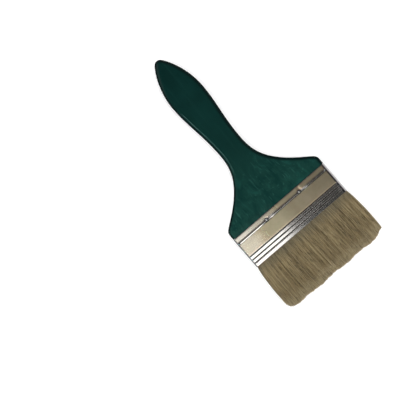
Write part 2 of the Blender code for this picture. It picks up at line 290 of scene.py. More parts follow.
def nail_steel():
    """A bright nail head, a little dull and scratched, with a rim darkened by dirt and painted
    shade.
    """
    clean, worn, rim_dirt_and_shade = (0.80, 0.80, 0.79), (0.52, 0.51, 0.49), (0.035, 0.032, 0.030)
    nodes = Nodes("nail_steel")
    wear = nodes.noise(nodes.stretch(1800, 1800, 1800), detail=3)
    shine = nodes.mix(nodes.ramp(wear, 0.35, 0.7), clean, worn)
    rim = nodes.attribute("nail")[0]
    nodes.feed("Base Color", nodes.mix(nodes.math("MULTIPLY", rim, 0.9), shine, rim_dirt_and_shade))
    nodes.feed("Roughness", nodes.ramp(wear, 0.3, 0.7, 0.14, 0.32))
    nodes.set(Metallic=1.0)
    nodes.feed("Normal", nodes.bump(wear, 0.01 * MM))
    return nodes.material


def hog_bristle():
    """Natural bristle: khaki to brown from strand to strand, paler and flagged at the tip."""
    dark_bristle = (0.035, 0.023, 0.010)
    khaki_bristle = (0.240, 0.181, 0.089)
    pale_bristle = (0.55, 0.450, 0.265)
    flagged_tip = (0.65, 0.550, 0.350)
    gap_shade = (0.049, 0.034, 0.014)
    pale_streak = (0.39, 0.305, 0.165)
    root_shade = (0.105, 0.095, 0.065)
    nodes = Nodes("hog_bristle")
    tone, along, chance = nodes.attribute("strand")[:3]
    colour = nodes.mix(nodes.ramp(tone, 0.0, 0.45), dark_bristle, khaki_bristle)
    colour = nodes.mix(nodes.ramp(tone, 0.45, 1.0), colour, pale_bristle)
    near_tip = nodes.ramp(along, 0.83, 1.0)
    flagged = nodes.math("MULTIPLY", near_tip, nodes.ramp(chance, 0.0, 1.0, 0.15, 0.95))
    colour = nodes.mix(flagged, colour, flagged_tip)
    # Narrow streaks: pale where bristles of one tone lie together, dark as painted shade in gaps
    # between them.
    banding = nodes.noise(nodes.stretch(170, 1000, 400), detail=1)
    colour = nodes.mix(nodes.ramp(banding, 0.54, 0.70, 0.0, 0.55), colour, gap_shade)
    colour = nodes.mix(nodes.ramp(banding, 0.46, 0.30, 0.0, 0.42), colour, pale_streak)
    root = nodes.ramp(along, 0.22, 0.44, 0.80, 0.0)
    colour = nodes.mix(root, colour, root_shade)
    nodes.feed("Base Color", colour)
    nodes.feed("Roughness", nodes.ramp(chance, 0.0, 1.0, 0.38, 0.58))
    nodes.set(Specular_IOR_Level=0.35)
    return nodes.material


def strip_wood():
    """The bare wood of the strip between the two rows of bristle."""
    dark_grain, pale_grain = (0.42, 0.29, 0.15), (0.62, 0.48, 0.29)
    nodes = Nodes("strip_wood")
    grain = nodes.noise(nodes.stretch(300, 40, 900), detail=5, distortion=1.0)
    nodes.feed("Base Color", nodes.mix(nodes.ramp(grain, 0.3, 0.7), dark_grain, pale_grain))
    nodes.feed("Roughness", nodes.ramp(grain, 0.3, 0.7, 0.65, 0.85))
    nodes.feed("Normal", nodes.bump(grain, 0.05 * MM))
    return nodes.material


def set_resin():
    """Clouded amber resin, glossy where it set against the mould."""
    dark_amber, pale_amber = (0.30, 0.17, 0.05), (0.50, 0.33, 0.13)
    nodes = Nodes("set_resin")
    cloud = nodes.noise(nodes.stretch(160, 160, 160), detail=4)
    nodes.feed("Base Color", nodes.mix(nodes.ramp(cloud, 0.3, 0.7), dark_amber, pale_amber))
    nodes.feed("Roughness", nodes.ramp(cloud, 0.3, 0.7, 0.18, 0.35))
    nodes.set(Coat_Weight=0.4, Coat_Roughness=0.1)
    nodes.feed("Normal", nodes.bump(cloud, 0.1 * MM))
    return nodes.material


# Mesh helpers -------------------------------------------------------------------------------


def add_piece(name, mesh, material, slot, *nodes):
    """Puts a mesh in the scene as a piece that rides on the one body and stands for CAD nodes.

    It gives back the new object.
    """
    mesh.name = name
    mesh.materials.append(material)
    piece = bpy.data.objects.new(name, mesh)
    bpy.context.scene.collection.objects.link(piece)
    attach(piece, "root")
    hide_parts(*nodes)
    return piece


def shade(mesh, sharp_degrees=40):
    """Smooth shading that breaks at edges sharper than an angle."""
    mesh.shade_smooth()
    mesh.set_sharp_from_angle(angle=math.radians(sharp_degrees))


def finish_mesh(bm, name):
    """Turns a bmesh into a mesh whose faces all look outwards."""
    mesh = bpy.data.meshes.new(name)
    bmesh.ops.recalc_face_normals(bm, faces=bm.faces)
    bm.to_mesh(mesh)
    bm.free()
    return mesh


def read_points(mesh):
    """The mesh's points as an array of rows."""
    spots = np.empty(len(mesh.vertices) * 3)
    mesh.vertices.foreach_get("co", spots)
    return spots.reshape(-1, 3)


def add_colours(mesh, name, *values):
    """Keeps three numbers at each point of the mesh, for its material to read."""
    colour = np.ones((len(mesh.vertices), 4), np.float32)
    for channel, value in enumerate(values):
        colour[:, channel] = value.ravel()
    layer = mesh.color_attributes.new(name, "FLOAT_COLOR", "POINT")
    layer.data.foreach_set("color", colour.ravel())


def smooth_step(value, low, high):
    """0 below low, 1 above high and a smooth rise between."""
    share = np.clip((value - low) / (high - low), 0, 1)
    return share * share * (3 - 2 * share)


# The handle ---------------------------------------------------------------------------------

CURVE_STEPS = 40  # points read off each curve of the outline
OUTLINE_POINTS = 260  # along one side, about 0.7 mm apart
EDGE_STEPS = 10  # rings over half of the rounded edge
TENON_INSET = 1.1 * MM


def outline_points():
    """The outline's +Y side from tip to shoulder: points and outward normals, in metres."""
    points = []
    for first, second in zip(HANDLE_OUTLINE, HANDLE_OUTLINE[1:]):
        start, end = np.array(first[0], float), np.array(second[0], float)
        pulls = (start, start + first[2], end + second[1], end)
        for step in range(CURVE_STEPS):
            t = step / CURVE_STEPS
            weights = ((1 - t) ** 3, 3 * (1 - t) ** 2 * t, 3 * (1 - t) * t * t, t**3)
            points.append(sum(weight * pull for weight, pull in zip(weights, pulls)))
    points.append(np.array(HANDLE_OUTLINE[-1][0], float))
    points = np.array(points) * MM
    lengths = np.concatenate([[0], np.cumsum(np.linalg.norm(np.diff(points, axis=0), axis=1))])
    places = np.linspace(0, lengths[-1], OUTLINE_POINTS)
    even = np.column_stack([np.interp(places, lengths, points[:, axis]) for axis in (0, 1)])
    tangents = np.gradient(even, axis=0)
    tangents[0], tangents[-1] = (0, 1), (1, 0)
    tangents /= np.linalg.norm(tangents, axis=1)[:, None]
    normals = np.column_stack([-tangents[:, 1], tangents[:, 0]])
    return even, normals


def add_board_data(mesh):
    """Keeps how far down the edge each point is, how light its green is with painted shade, and the
    wide end.
    """
    spots = read_points(mesh)
    drop = 1 - (HANDLE_HALF_THICK - np.abs(spots[:, 2] - MID_Z)) / EDGE_ROUND
    edge = smooth_step(1 - drop, 0.0, 0.26)
    share = (spots[:, 0] - TIP_X) / (SHOULDER_X - TIP_X)
    green_tone_and_shade = 0.20 * smooth_step(share, 0.05, 0.6) + 0.80 * smooth_step(share, 0.55, 1.0)
    # Painted shade: the wide end is a little darker towards +Y, the side that gets less light.
    green_tone_and_shade = green_tone_and_shade * (0.88 - 0.12 * spots[:, 1] / HANDLE_HIGH.y)
    add_colours(mesh, "board", edge, green_tone_and_shade, smooth_step(share, 0.66, 0.85))


def edge_sections():
    """(inset, height) of each ring over the rounded edge, from the back face to the front."""
    flat = HANDLE_HALF_THICK - EDGE_ROUND
    turns = np.linspace(-math.pi / 2, 0, EDGE_STEPS + 1)
    lower = []
    for turn in turns:
        inset = EDGE_ROUND * (1 - math.cos(turn))
        lower.append((inset, -flat + EDGE_ROUND * math.sin(turn)))
    return lower + [(inset, -height) for inset, height in reversed(lower)]


def make_handle(material):
    """The board as rings that follow its outline over the rounded edge, with flat faces."""
    half, half_normals = outline_points()
    outline = np.concatenate([half[:0:-1] * (1, -1), half])
    normals = np.concatenate([half_normals[:0:-1] * (1, -1), half_normals])
    bm = bmesh.new()
    nail_ring_dirt_and_shade = []
    for inset, height in edge_sections():
        ring = []
        for point, normal in zip(outline, normals):
            x, y = point - normal * inset
            ring.append(bm.verts.new((TIP_X + x, y, MID_Z + height)))
        nail_ring_dirt_and_shade.append(ring)
    for first, second in zip(nail_ring_dirt_and_shade, nail_ring_dirt_and_shade[1:]):
        for index in range(len(outline) - 1):
            bm.faces.new((first[index], first[index + 1], second[index + 1], second[index]))
    for ring in (nail_ring_dirt_and_shade[0], nail_ring_dirt_and_shade[-1]):
        bm.faces.new(ring)
    ends = [ring[-1] for ring in nail_ring_dirt_and_shade] + [ring[0] for ring in reversed(nail_ring_dirt_and_shade)]
    shoulder = bm.faces.new(ends)
    shoulder.normal_update()
    bmesh.ops.inset_region(bm, faces=[shoulder], thickness=TENON_INSET, use_even_offset=True)
    made = bmesh.ops.extrude_discrete_faces(bm, faces=[shoulder])["faces"]
    reach = Vector((TENON_LENGTH, 0, 0))
    bmesh.ops.translate(bm, vec=reach, verts=list({v for face in made for v in face.verts}))
    mesh = finish_mesh(bm, "handle_board")
    shade(mesh, sharp_degrees=50)
    add_board_data(mesh)
    add_piece("handle_board", mesh, material, "green_lacquer", "handle")


# The ferrule --------------------------------------------------------------------------------

GROOVE_FADE = 1.3 * MM  # a groove runs out this close to each corner, sooner than the CAD's
SHEET_STEP = 0.55 * MM  # between places along the wide faces
CORNER_STEPS = 8
NARROW_POINTS = 9
CLOSEST_STATIONS = 0.06 * MM
RIB_HEIGHT = 0.10 * MM
WAVE_HEIGHT = 0.02 * MM
GLINT_PAST = 5.0 * MM  # from a nail to where its groove is brightest: a painted highlight and a steeper shoulder
GLINT_REACH = 3.2 * MM
PANEL_MOST = 1.38  # the panel's value at its most, towards +Y, where it is roughest and darkest with painted shade


def sheet_path():
    """The sheet's outer face, end to end round the brush, seen along X.

    Rows of (y, z, outward y, outward z, groove share). The first and last stretch lap at the back.
    """
    corner_y = FERRULE_HALF_WIDTH - FERRULE_CORNER
    corner_z = FERRULE_HALF_THICK - FERRULE_CORNER
    rows = []

    def straight(start_y, end_y, side, lift=0.0):
        count = max(2, round(abs(end_y - start_y) / SHEET_STEP))
        for y in np.linspace(start_y, end_y, count + 1):
            share = 1 - smooth_step(abs(y), corner_y - GROOVE_FADE, corner_y)
            rows.append((y, side * (FERRULE_HALF_THICK + lift), 0, side, share))

    def corner(side_y, side_z, start):
        for step in range(1, CORNER_STEPS):
            angle = math.radians(start - 90 * step / CORNER_STEPS)
            out_y, out_z = math.cos(angle), math.sin(angle)
            y = side_y * corner_y + FERRULE_CORNER * out_y
            rows.append((y, side_z * corner_z + FERRULE_CORNER * out_z, out_y, out_z, 0))

    def narrow(side):
        for z in np.linspace(side * corner_z, -side * corner_z, NARROW_POINTS):
            rows.append((side * FERRULE_HALF_WIDTH, z, side, 0, 0))

    straight(LAP_TO, -corner_y, -1)
    corner(-1, -1, 270)
    narrow(-1)
    corner(-1, 1, 180)
    straight(-corner_y, corner_y, 1)
    corner(1, 1, 90)
    narrow(1)
    corner(1, -1, 0)
    straight(corner_y, LAP_TO + 2 * LAP_RAMP, -1)
    straight(LAP_TO + LAP_RAMP, LAP_FROM, -1, LAP_LIFT)
    return np.array(rows)


def sheet_stations():
    """Distances from the ferrule's handle edge, close together in the grooves and by the nails."""
    places = [np.linspace(0, FERRULE_LENGTH, 26)]
    places.append(np.linspace(NAIL_GROOVE - 2.6 * MM, NAIL_GROOVE + 2.6 * MM, 21))
    for centre in [NAIL_GROOVE, *BRISTLE_GROOVES]:
        places.append(centre + GROOVE_HALF_WIDTH * np.linspace(-1, 1, 11))
    places.append([0.25 * MM, FERRULE_LENGTH - 0.25 * MM])
    ordered = np.unique(np.round(np.concatenate(places), 6))
    keep = np.concatenate([[True], np.diff(ordered) > CLOSEST_STATIONS])
    keep[-1] = True
    return ordered[keep]


def groove_shape(distance, centre):
    """How deep a groove is at a distance along the ferrule, from 0 to 1."""
    share = np.clip(1 - np.abs(distance - centre) / GROOVE_HALF_WIDTH, 0, 1)
    return smooth_step(share, 0, 0.75)


def nail_spots():
    """(x, y, side) of each nail, from its CAD box."""
    spots = {}
    for name in ("front_left", "front_right", "back_left", "back_right"):
        low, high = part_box(f"nail_{name}")
        side = 1 if high.z > MID_Z + FERRULE_HALF_THICK else -1
        spots[name] = ((low.x + high.x) / 2, (low.y + high.y) / 2, side)
    return spots


class Sheet:
    """The ferrule's sheet as a grid: a row at each place round the brush, a column along it."""

    def __init__(self):
        columns = sheet_path().T
        self.y, self.z, self.out_y, self.out_z, self.share = (column[:, None] for column in columns)
        self.distance = sheet_stations()[None, :]
        self.past_nails = self.distance - NAIL_GROOVE
        shape = (len(self.y), self.distance.size)
        self.grooves = np.zeros(shape)
        for centre in [NAIL_GROOVE, *BRISTLE_GROOVES]:
            groove = groove_shape(self.distance, centre) * (self.share > 0)
            self.grooves = np.maximum(self.grooves, groove)
        # The nail groove's bristle side ends in a low gentle shoulder.
        rise = smooth_step(self.past_nails, 0, 0.6 * MM)
        self.shoulder = rise * (1 - smooth_step(self.past_nails, 0.4 * MM, 1.7 * MM))
        self.dents = np.zeros(shape)
        self.nail_ring_dirt_and_shade = np.zeros(shape)
        self.glint = np.zeros((len(self.y), 1))
        for x, nail_y, side in nail_spots().values():
            self.mark_nail(x - SHOULDER_X, nail_y, side)

    def mark_nail(self, nail_at, nail_y, side):
        """A dent by a nail, dirt and painted shade round it, a painted highlight past it in its
        groove.

        The nails on the +Y side have the deeper dent and the brighter groove.
        """
        facing = (self.out_z * side) > 0.5
        dent, off, shine = (0.30 * MM, 1.0 * MM, 1.0) if nail_y > 0 else (0.10 * MM, 0.2 * MM, 0.6)
        away = np.hypot(self.distance - nail_at + off, self.y - nail_y - 1.5 * off)
        dimple = dent * (1 - smooth_step(away, 0.5 * MM, 2.6 * MM))
        self.dents = self.dents + np.where(facing, dimple * (1 - self.grooves), 0)
        # Dirt and painted shade in a ring round the nail, where its dimple sits.
        from_nail = np.hypot(self.distance - nail_at, self.y - nail_y)
        ring = 1 - smooth_step(from_nail, 1.5 * MM, 2.3 * MM)
        self.nail_ring_dirt_and_shade = np.maximum(self.nail_ring_dirt_and_shade, facing * ring)
        past = (self.y - nail_y - GLINT_PAST) / GLINT_REACH
        self.glint = np.maximum(self.glint, facing * shine * np.exp(-(past**2)))

    def depth(self):
        """How far each point is pressed in from the sheet's flat faces."""
        depth = GROOVE_DEPTH * self.grooves * self.share
        # The bands between the bristle grooves and the lip stand up a little, as rounded ribs.
        ends = [*BRISTLE_GROOVES[1:], FERRULE_LENGTH + 1.2 * MM]
        for start, end in zip(BRISTLE_GROOVES, ends):
            middle, half = (start + end) / 2, (end - start) / 2
            rib = np.clip(1 - ((self.distance - middle) / half) ** 2, 0, 1)
            depth = depth - RIB_HEIGHT * rib * self.share
        depth = depth + self.dents
        # The shoulder is steeper towards -Y, and past the nails where the groove glints.
        steep = 0.24 - 0.11 * smooth_step(self.y, -30 * MM, -18 * MM) + 0.10 * self.glint
        depth = np.maximum(depth, steep * MM * self.shoulder * self.share)
        # Long shallow waves, as in any thin sheet that was rolled and pressed by hand.
        wave = np.sin(self.y / (9 * MM) + 1.3) * np.sin(self.distance / (6 * MM) + 0.4)
        wave = wave + 0.6 * np.sin(self.y / (21 * MM))
        return depth + WAVE_HEIGHT * wave * self.share * (np.abs(self.out_z) > 0.9)

    def groove_dirt_and_shade(self):
        """Dirt and painted shade that fill the grooves, and creep up the nail groove's handle side.
        """
        creep = smooth_step(self.past_nails, -1.7 * MM, -0.8 * MM) * (self.past_nails < 0)
        groove_dirt_and_shade = np.maximum(smooth_step(self.grooves, 0, 0.6), 0.8 * creep * (self.share > 0))
        # Painted highlight: just past the nails the groove's dark colour is lifted.
        return groove_dirt_and_shade * (1 - 0.7 * self.glint * (self.distance < 2 * NAIL_GROOVE))

    def varnish(self):
        """How dull the varnish makes the sheet: 1 on the flat panel, and more towards +Y, with
        painted shade.
        """
        panel = smooth_step(self.past_nails, 0.9 * MM, 2.0 * MM)
        last = BRISTLE_GROOVES[0]
        panel = panel * (1 - smooth_step(self.distance, last - 1.2 * MM, last))
        band = 0.65 + 0.35 * smooth_step(self.y, -20 * MM, 10 * MM)
        panel = np.maximum(panel, band * (1 - smooth_step(self.past_nails, -1.6 * MM, 0)))
        # It is worn thin towards the -Y end of the front.
        ragged = 0.8 * MM * np.sin(self.distance / (1.1 * MM))
        ragged = ragged + 1.2 * MM * np.sin(self.distance / (3.1 * MM))
        worn = 1 - smooth_step(self.y + ragged, -39 * MM, -24 * MM)
        panel = panel * (1 - 0.28 * worn * (self.out_z > 0))
        narrow = smooth_step(np.abs(self.out_y), 0.3, 0.9)
        panel = panel + narrow * (0.4 - panel)
        # Towards +Y it is rougher, and its value over 1 darkens it with painted shade.
        return panel * (1 + (PANEL_MOST - 1) * smooth_step(self.y, -14 * MM, 8 * MM))

    def dirt_and_shade(self):
        """Dirt and painted shade at both rims, on the corners and narrow sides, round nails and at
        groove ends.
        """
        from_mouth = FERRULE_LENGTH - self.distance
        inside = smooth_step(self.distance, 0, 0.8 * MM)
        inside = np.minimum(inside, smooth_step(from_mouth, 0, 0.3 * MM))
        corner_from = FERRULE_HALF_WIDTH - 1.8 * MM
        corner = smooth_step(np.abs(self.y), corner_from, corner_from + 0.7 * MM)
        ends = 4 * self.share * (1 - self.share) * np.maximum(self.grooves, self.shoulder)
        return np.maximum(np.maximum(1 - inside, corner), np.maximum(self.nail_ring_dirt_and_shade, ends))


def grid_mesh(name, verts):
    """A mesh of quads from a grid of points."""
    rows, columns = verts.shape[:2]
    index = np.arange(rows * columns).reshape(rows, columns)
    corners = [index[:-1, :-1], index[:-1, 1:], index[1:, 1:], index[1:, :-1]]
    mesh = bpy.data.meshes.new(name)
    mesh.from_pydata(verts.reshape(-1, 3), [], np.stack(corners, axis=-1).reshape(-1, 4))
    mesh.shade_smooth()
    return mesh


def make_ferrule(material):
    """The rolled sheet with its grooves, the dents by its nails and slight unevenness."""
    sheet = Sheet()
    depth = sheet.depth()
    verts = np.empty((*depth.shape, 3))
    verts[:, :, 0] = SHOULDER_X + sheet.distance
    verts[:, :, 1] = sheet.y - sheet.out_y * depth
    verts[:, :, 2] = MID_Z + sheet.z - sheet.out_z * depth
    mesh = grid_mesh("ferrule_sheet", verts)
    add_colours(mesh, "ferrule", sheet.groove_dirt_and_shade(), sheet.varnish(), sheet.dirt_and_shade())
    piece = add_piece("ferrule_sheet", mesh, material, "tinplate", "ferrule")
    gauge = piece.modifiers.new("sheet", "SOLIDIFY")
    gauge.thickness = SHEET
    gauge.offset = -1
    gauge.use_even_offset = True


# Nails --------------------------------------------------------------------------------------

NAIL_HEAD_HEIGHT = 0.70 * MM  # a little more than the CAD's, down into the groove
NAIL_SHANK_RADIUS = 0.6 * MM
NAIL_POINT = 1.2 * MM
NAIL_LEAN = math.radians(3)
NAIL_SIDES = 32


def turned_mesh(name, profile):
    """A closed mesh turned round Z from (radius, height) points that start and end on the axis."""
    verts = [(0, 0, profile[0][1])]
    for radius, height in profile[1:-1]:
        for side in range(NAIL_SIDES):
            angle = 2 * math.pi * side / NAIL_SIDES
            verts.append((radius * math.cos(angle), radius * math.sin(angle), height))
    last = len(verts)
    verts.append((0, 0, profile[-1][1]))
    faces = []
    for side in range(NAIL_SIDES):
        beside = (side + 1) % NAIL_SIDES
        faces.append((0, 1 + side, 1 + beside))
        for upper in range(1, last - NAIL_SIDES, NAIL_SIDES):
            lower = upper + NAIL_SIDES
            faces.append((upper + side, lower + side, lower + beside, upper + beside))
        faces.append((last, last - NAIL_SIDES + beside, last - NAIL_SIDES + side))
    mesh = bpy.data.meshes.new(name)
    mesh.from_pydata(verts, [], faces)
    shade(mesh)
    return mesh


def make_nail(name, spot, material):
    """A nail with a rounded head, leaning a little."""
    x, y, side = spot
    low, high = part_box(f"nail_{name}")
    radius = (high.x - low.x) / 2
    point_at = NAIL_HEAD_HEIGHT - (high.z - low.z)
    turns = np.linspace(0, math.pi / 2, 12)
    profile = [(radius * math.sin(turn), NAIL_HEAD_HEIGHT * math.cos(turn)) for turn in turns]
    profile += [(radius * 0.96, -0.05 * MM), (NAIL_SHANK_RADIUS, -0.08 * MM)]
    profile += [(NAIL_SHANK_RADIUS, point_at + NAIL_POINT), (0, point_at)]
    mesh = turned_mesh(f"nail_head_{name}", profile)
    spots = read_points(mesh)
    away = np.hypot(spots[:, 0], spots[:, 1]) / radius
    # Dirt and painted shade on the head's rim.
    rim = smooth_step(away, 0.55, 0.80)
    add_colours(mesh, "nail", rim, rim, rim)
    lean = Matrix.Rotation(NAIL_LEAN if y > 0 else -NAIL_LEAN, 4, "Y")
    flip = Matrix.Rotation(0 if side == 1 else math.pi, 4, "X")
    top = high.z if side == 1 else low.z
    mesh.transform(Matrix.Translation((x, y, top - side * NAIL_HEAD_HEIGHT)) @ flip @ lean)
    add_piece(f"nail_head_{name}", mesh, material, "nail_steel", f"nail_{name}")


# Bristles -----------------------------------------------------------------------------------

STRANDS_PER_PIECE = 2800
STRAND_SIDES = 3  # so one triangle closes each end
STRAND_RINGS = np.array([0, 0.2, 0.29, 0.38, 0.5, 0.63, 0.76, 0.89, 1.0])  # shares of its length
BUTT_RADIUS = 0.13 * MM
TIP_RADIUS = 0.06 * MM
MOUTH_HALF_WIDTH = FERRULE_HALF_WIDTH - SHEET - 0.25 * MM
MOUTH_HALF_THICK = FERRULE_HALF_THICK - SHEET - 0.15 * MM
SURFACE_LAYER = (0.55, 1.0)  # shares of the way from the tuft's middle to its face
INSIDE_LAYER = (0.0, 0.62)

# How the strands are spread: levels through a layer, locks across the tuft, and gaps in its face.
LEVELS = 5
LOCKS = 116
LOCK_PULL = 0.2  # most of the way that a strand leans to its lock's middle
GAPS = 46
GAP_HALF_WIDTH = 0.28 * MM

# How far the tips scatter, and which share of them is broken short or stands out.
TIP_SCATTER = 0.45 * MM
SHORT_SHARE = 0.15
SHORTEST = 9 * MM
LONG_SHARE = 0.03
LONGEST = 0.8 * MM

# How strands bend over their free length.
BOW_Y = 0.36 * MM
TURN_Y = 0.16 * MM
BOW_Z = 0.22 * MM
WIGGLE = 0.08 * MM
STRAY_SHARE = 0.04
STRAY_BEND = 1.5 * MM
TUFT_LEAN = 1.8 * MM  # the whole tuft leans towards +Y, least at its sides
STRAND_MARGIN = 0.12 * MM  # what the strands leave free inside the CAD rows

# How light they are, from 0 to 1.
TONE = 0.45
OWN_TONE = 0.13
LOCK_TONE = 0.04
PALE_SHARE = 0.09
DARK_SHARE = 0.11
GOLDEN_SHARE = 0.618034  # the step that keeps the odd ones evenly apart


def tuft_half_width(x):
    """The tuft's half width along X: held by the ferrule, then spreading."""
    widest = TUFT_HALF_WIDTH - 0.1 * MM
    widths = {
        -0.4: MOUTH_HALF_WIDTH,
        -0.02: MOUTH_HALF_WIDTH,
        0.08: widest - 1.6 * MM,
        0.25: widest - 0.8 * MM,
        0.5: widest - 0.1 * MM,
        0.8: widest,
        1.0: widest - 0.3 * MM,
    }
    places = MOUTH_X + (END_X - MOUTH_X) * np.array(list(widths))
    return np.interp(x, places, list(widths.values()))


def tuft_half_thick(x):
    """The tuft's half thickness along X: pinched by the grooves, a belly, and a thinner end."""
    pinch = MOUTH_HALF_THICK - GROOVE_DEPTH
    belly = TUFT_HALF_THICK - 0.15 * MM
    heights = {
        -0.35: pinch,
        -0.06: pinch,
        -0.005: MOUTH_HALF_THICK,
        0.1: 0.5 * (MOUTH_HALF_THICK + belly),
        0.3: belly,
        0.55: belly,
        0.8: 0.45 * belly + 0.55 * TUFT_END_HALF_THICK,
        1.0: TUFT_END_HALF_THICK,
    }
    places = MOUTH_X + (END_X - MOUTH_X) * np.array(list(heights))
    return np.interp(x, places, list(heights.values()))


def end_line(across):
    """X of the tuft's end at a place across it, from -1 to 1: wavy, with two unlike corners."""
    y = across * TUFT_HALF_WIDTH
    round_corner = TUFT_CORNER + 2.5 * MM
    into_round = np.clip(round_corner - (TUFT_HALF_WIDTH + y), 0, round_corner)
    rounded = round_corner - np.sqrt(np.maximum(round_corner**2 - into_round**2, 0))
    slanted = 0.27 * np.clip(y - 42 * MM, 0, None)
    waves = 0.5 * np.cos((y - 38 * MM) / (4.6 * MM))
    waves = waves + 0.25 * np.sin(y / (1.7 * MM))
    waves = waves + 0.2 * np.sin(y / (0.8 * MM))
    return END_X - 0.8 * MM - rounded - slanted + MM * waves


def strand_roots(rng, side, layer, count):
    """Where strands stand in the tuft's section: across from -1 to 1, and up from 0 to side.

    Each group of neighbours has one strand at each level, so that the face is evenly covered.
    """
    across = (np.arange(count) + rng.uniform(0, 1, count)) / count * 2 - 1
    groups = np.tile(np.arange(LEVELS), (count // LEVELS, 1))
    level = rng.permuted(groups, axis=1).ravel()
    share = (level + rng.uniform(0, 1, count)) / LEVELS
    low, high = layer
    # In the surface layer they stand closer together towards the face. Inside they are even.
    up = np.sqrt(low**2 + share * (high**2 - low**2)) if low else high * share
    # The section has rounded corners, so the outermost strands stay nearer the middle height.
    into_corner = np.clip((np.abs(across) - 0.955) / 0.045, 0, 1)
    room = np.sqrt(np.clip(1 - into_corner**2, 0.12, 1))
    return across, side * up * room


def strand_locks(rng, across):
    """Which lock each strand belongs to, and how far it is from that lock's middle."""
    edges = (np.arange(LOCKS) + rng.uniform(0.1, 0.9, LOCKS)) / LOCKS * 2 - 1
    middles = (np.concatenate([[-1], edges]) + np.concatenate([edges, [1]])) / 2
    lock = np.searchsorted(edges, across)
    return lock, middles[lock] - across


def strand_tips(rng, across):
    """X of each strand's tip: near the end line, some broken short and a few standing out."""
    count = len(across)
    tip_x = end_line(across) - np.abs(rng.normal(0, TIP_SCATTER, count))
    short = rng.uniform(0, 1, count) < SHORT_SHARE
    tip_x = tip_x - np.where(short, rng.uniform(0.5 * MM, SHORTEST, count), 0)
    long = rng.uniform(0, 1, count) < LONG_SHARE
    return np.where(long, tip_x + rng.uniform(0.2 * MM, LONGEST, count), tip_x)


def gap_depth(rng, x, y):
    """How far the tuft's face drops at each point: narrow gaps a few millimetres long."""
    depth = np.zeros_like(x)
    for _ in range(GAPS):
        along = rng.uniform(MOUTH_X + 2 * MM, END_X - 4 * MM)
        across = rng.uniform(-0.94, 0.94) * TUFT_HALF_WIDTH
        length = rng.uniform(2.0, 4.5) * MM
        drop = rng.uniform(0.6, 1.6) * MM
        slant = 0.05 * (x - along)
        reach = ((x - along) / length) ** 2 + ((y - across - slant) / GAP_HALF_WIDTH) ** 2
        depth = depth + drop * np.exp(-reach)
    return depth


def strand_paths(rng, across, up, pull, tip_x):
    """The middle of each strand at each of its rings, inside the space that the CAD rows hold."""
    count = len(across)
    across, up, pull = across[:, None], up[:, None], pull[:, None]
    x = BUTT_X + STRAND_RINGS[None, :] * (tip_x - BUTT_X)[:, None]
    free = np.clip((x - MOUTH_X) / (END_X - MOUTH_X), 0, 1)
    bow_y = rng.normal(0, BOW_Y, count)[:, None]
    turn_y = rng.normal(0, TURN_Y, count)[:, None]
    bow_z = rng.normal(0, BOW_Z, count)[:, None]
    strays = rng.uniform(0, 1, count) < STRAY_SHARE
    stray = np.where(strays, rng.normal(0, STRAY_BEND, count), 0)[:, None]
    phase = rng.uniform(0, 2 * math.pi, count)[:, None]
    wiggle = np.sin(free * 4.5 + phase) * WIGGLE * free
    lean = TUFT_LEAN * (1 - across**2)
    room = np.clip((1 - np.abs(across)) / 0.04, 0.15, 1)
    bend = (bow_y * free + turn_y * np.sin(free * 3) + stray * free**2) * room
    y = (across + pull * free) * tuft_half_width(x) + bend + wiggle + lean * free
    height = tuft_half_thick(x) - gap_depth(rng, x, y) * np.abs(up)
    z = up * height + bow_z * free**1.5
    most_y = TUFT_HALF_WIDTH - STRAND_MARGIN
    most_z = TUFT_HALF_THICK - STRAND_MARGIN
    return np.stack([x, np.clip(y, -most_y, most_y), MID_Z + np.clip(z, -most_z, most_z)], axis=-1)


def strand_tubes(rng, centres):
    """A closed prism round each path, thinner towards its tip: points, quads and end triangles."""
    count, nail_ring_dirt_and_shade = centres.shape[:2]
    taper = BUTT_RADIUS + (TIP_RADIUS - BUTT_RADIUS) * STRAND_RINGS**1.5
    radius = rng.uniform(0.8, 1.2, count)[:, None] * taper
    corners = np.arange(STRAND_SIDES) * 2 * math.pi / STRAND_SIDES
    turn = rng.uniform(0, 2 * math.pi, count)[:, None] + corners
    ring = np.stack([np.zeros_like(turn), np.cos(turn), np.sin(turn)], axis=-1)
    verts = centres[:, :, None, :] + ring[:, None, :, :] * radius[:, :, None, None]
    per_strand = nail_ring_dirt_and_shade * STRAND_SIDES
    walls = []
    for low in range(0, per_strand - STRAND_SIDES, STRAND_SIDES):
        high = low + STRAND_SIDES
        for corner in range(STRAND_SIDES):
            beside = (corner + 1) % STRAND_SIDES
            walls.append((low + corner, low + beside, high + beside, high + corner))
    base = np.arange(count)[:, None, None] * per_strand
    quads = (base + np.array(walls)[None, :, :]).reshape(-1, 4)
    caps = np.array([[2, 1, 0], np.arange(STRAND_SIDES) + per_strand - STRAND_SIDES])
    triangles = (base + caps[None, :, :]).reshape(-1, 3)
    return verts.reshape(-1, 3), quads, triangles


def strand_tones(rng, across, outer, lock):
    """How light each strand is: drifting across the tuft, with odd pale and dark ones.

    The odd ones mostly stand a few together, at even spaces by steps of the golden ratio.
    """
    count = len(across)
    drift = 0.03 * np.sin(across * 7.3 + 1.0)
    shared = rng.normal(0, LOCK_TONE, LOCKS + 1)[lock]
    tone = TONE + drift + shared + rng.normal(0, OWN_TONE, count) + 0.05 * (outer - 0.5)
    group = np.arange(count) // LEVELS
    pick = (GOLDEN_SHARE * group + rng.uniform(0, 0.2, count)) % 1
    is_dark = pick < DARK_SHARE
    is_pale = ~is_dark & (pick < DARK_SHARE + PALE_SHARE)
    tone = np.where(is_pale, rng.uniform(0.75, 1.0, count), tone)
    tone = np.where(is_dark, rng.uniform(0.0, 0.10, count), tone)
    return np.clip(tone, 0, 1)


